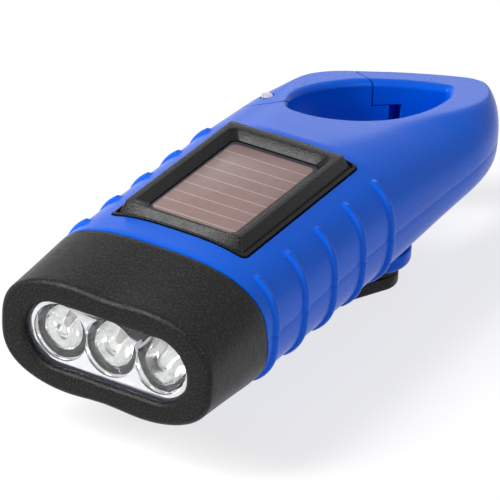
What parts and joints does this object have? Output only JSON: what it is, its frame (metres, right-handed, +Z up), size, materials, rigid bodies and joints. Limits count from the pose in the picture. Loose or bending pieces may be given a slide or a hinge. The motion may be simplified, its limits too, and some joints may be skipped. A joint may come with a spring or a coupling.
{
  "type": "hand crank flashlight",
  "caption": "Hand crank flashlight with a solar panel on top, a lens bar across a black head, a folding crank below and a carabiner gate in its tail.",
  "frame": {"origin": "middle of the bounding box in plan, on the level of the folded crank arm's lowest face", "axes": "+Z up through the solar panel, +Y along the body from the lens to the carabiner's tip, +X to the right as seen from behind the lens, on the side away from the gate"},
  "size_m": [0.0408, 0.108, 0.0329],
  "materials": {
    "housing": "blue translucent plastic with a soft gloss",
    "head": "black plastic with a fine moulded texture",
    "crank": "black moulded plastic",
    "bezel": "glossy black plastic",
    "lens": "clear polished plastic window",
    "seal": "dark blue rubber",
    "reflector": "vacuum metallised plastic",
    "led": "clear epoxy",
    "solar": "cells under clear resin",
    "board": "green circuit board",
    "steel": "plain steel",
    "copper": "varnished copper wire",
    "gears": "white acetal"
  },
  "bodies": {
    "housing": {"top_shell": "housing", "bottom_shell": "housing", "head_bezel": "head", "gate_pin": "steel", "gate_spring": "steel", "housing_screw_1": "steel", "housing_screw_2": "steel", "housing_screw_3": "steel", "housing_screw_4": "steel", "lens": "lens", "lens_seal": "seal", "reflector": "reflector", "led_left": "led", "led_centre": "led", "led_right": "led", "lamp_board": "board", "solar_bezel": "bezel", "solar_panel": "solar", "circuit_board": "board", "coin_cell": "steel", "cell_clip": "steel", "button_spring": "steel", "tact_switch": "crank", "switch_board": "board", "idler_pin": "steel", "step_pin": "steel", "generator_can": "steel", "generator_coil": "copper", "gear_plate": "gears"},
    "crank": {"crank_hub": "crank", "crank_axle": "steel", "crank_gear": "gears", "axle_clip": "steel", "fold_pin": "steel"},
    "arm": {"crank_arm": "crank", "knob_pin": "steel"},
    "knob": {"crank_knob": "housing"},
    "gate": {"gate": "housing"},
    "button": {"push_button": "crank"},
    "idler": {"idler_gear": "gears"},
    "step": {"step_gear": "gears"},
    "rotor": {"rotor_pinion": "gears", "generator_rotor": "steel"}
  },
  "joints": [
    {"name": "crank_spin", "type": "hinge", "parent": "housing", "child": "crank", "pos_m": [0, 0.0032, 0.0058], "axis": [0, 0, 1], "continuous": true},
    {"name": "arm_fold", "type": "hinge", "parent": "crank", "child": "arm", "pos_m": [0, 0.0032, 0.003], "axis": [-0.8988, 0.4384, 0], "range_deg": [0, 180]},
    {"name": "knob_spin", "type": "hinge", "parent": "arm", "child": "knob", "pos_m": [0.00837, 0.02037, 0.0058], "axis": [0, 0, 1], "continuous": true},
    {"name": "gate_hinge", "type": "hinge", "parent": "housing", "child": "gate", "pos_m": [-0.0144, 0.021, 0.0195], "axis": [0, 0, 1], "range_deg": [-28, 0], "stiffness_Nm_per_rad": 0.02, "springref_deg": 45.84},
    {"name": "button_press", "type": "slide", "parent": "housing", "child": "button", "axis": [0, 0, 1], "range_m": [0, 0.0006], "stiffness_N_per_m": 600, "springref_m": -0.0006, "deforming": ["button_spring"]},
    {"name": "idler_spin", "type": "hinge", "parent": "housing", "child": "idler", "pos_m": [-0.0063, -0.0052, 0.0115], "axis": [0, 0, 1], "continuous": true},
    {"name": "step_spin", "type": "hinge", "parent": "housing", "child": "step", "pos_m": [0.0013, -0.0109, 0.0105], "axis": [0, 0, 1], "continuous": true},
    {"name": "rotor_spin", "type": "hinge", "parent": "housing", "child": "rotor", "pos_m": [0.00605, -0.01913, 0.0142], "axis": [0, 0, 1], "continuous": true}
  ],
  "couplings": [
    {"joint": "idler_spin", "follows": "crank_spin", "ratio": -3.2},
    {"joint": "step_spin", "follows": "crank_spin", "ratio": 8.96},
    {"joint": "rotor_spin", "follows": "crank_spin", "ratio": -25.088}
  ]
}
